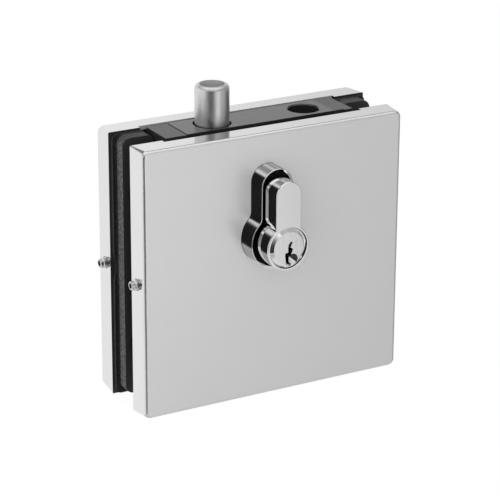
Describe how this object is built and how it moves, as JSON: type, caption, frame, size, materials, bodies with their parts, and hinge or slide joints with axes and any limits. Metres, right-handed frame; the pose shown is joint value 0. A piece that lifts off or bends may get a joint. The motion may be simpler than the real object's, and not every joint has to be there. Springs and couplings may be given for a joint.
{
  "type": "glass door patch lock",
  "caption": "Clamp-on lock for a frameless glass door: polished covers over a black clamp body, round end bolt, double profile cylinder with raised collars.",
  "frame": {"origin": "middle of the bottom edge, half way between the two covers, on the plane the covers stand on", "axes": "+Z the way the bolt is thrown, -Y the front cover and its cylinder face, +X to the right as seen from the front"},
  "size_m": [0.11, 0.068, 0.115],
  "materials": {
    "cover_steel": "polished pressed stainless steel, very fine grain",
    "mirror_chrome": "mirror chrome plate",
    "plug_chrome": "chrome plate, slightly worn",
    "black_casting": "die casting, black coated, matt",
    "black_plate": "satin black steel",
    "rubber": "black rubber, leather-grained edge",
    "bolt_zinc": "zinc-plated turned steel",
    "screw_zinc": "zinc-plated steel",
    "steel_inside": "plain steel, oiled",
    "brass_pins": "turned brass",
    "nylon": "natural nylon",
    "black_acetal": "black acetal"
  },
  "bodies": {
    "housing": {"front_cover": "cover_steel", "back_cover": "cover_steel", "front_collar": "mirror_chrome", "back_collar": "mirror_chrome", "cylinder_housing": "mirror_chrome", "front_body": "black_casting", "back_body": "black_casting", "lock_case": "black_casting", "case_lid": "black_casting", "faceplate": "black_plate", "front_gasket": "rubber", "back_gasket": "rubber", "set_screws": "screw_zinc", "clamp_screws": "screw_zinc", "lid_screws": "screw_zinc", "faceplate_screws": "screw_zinc", "cylinder_screw": "screw_zinc", "pad_spring": "steel_inside", "driver_springs": "steel_inside", "driver_pins": "brass_pins", "friction_pad": "nylon", "bolt_bush": "black_acetal", "clamp_sleeves": "black_acetal"},
    "key_side": {"front_plug": "plug_chrome", "front_key_pins": "brass_pins", "front_circlip": "steel_inside", "cam": "steel_inside", "cam_clutch": "steel_inside"},
    "bolt_slide_group": {"bolt": "bolt_zinc", "bolt_carrier": "steel_inside", "carrier_pin": "steel_inside"},
    "rear_side": {"rear_plug": "plug_chrome", "rear_key_pins": "brass_pins", "rear_circlip": "steel_inside"}
  },
  "joints": [
    {"name": "front_key_turn", "type": "hinge", "parent": "housing", "child": "key_side", "pos_m": [-0.0035, 0, 0.062], "axis": [0, 1, 0], "range_deg": [-72, 0]},
    {"name": "bolt_slide", "type": "slide", "parent": "housing", "child": "bolt_slide_group", "axis": [0, 0, 1], "range_m": [-0.015, 0]},
    {"name": "rear_key_turn", "type": "hinge", "parent": "housing", "child": "rear_side", "pos_m": [-0.0035, 0, 0.062], "axis": [0, 1, 0], "continuous": true}
  ],
  "couplings": [
    {"joint": "front_key_turn", "follows": "bolt_slide", "rad_per_m": 83.776}
  ]
}
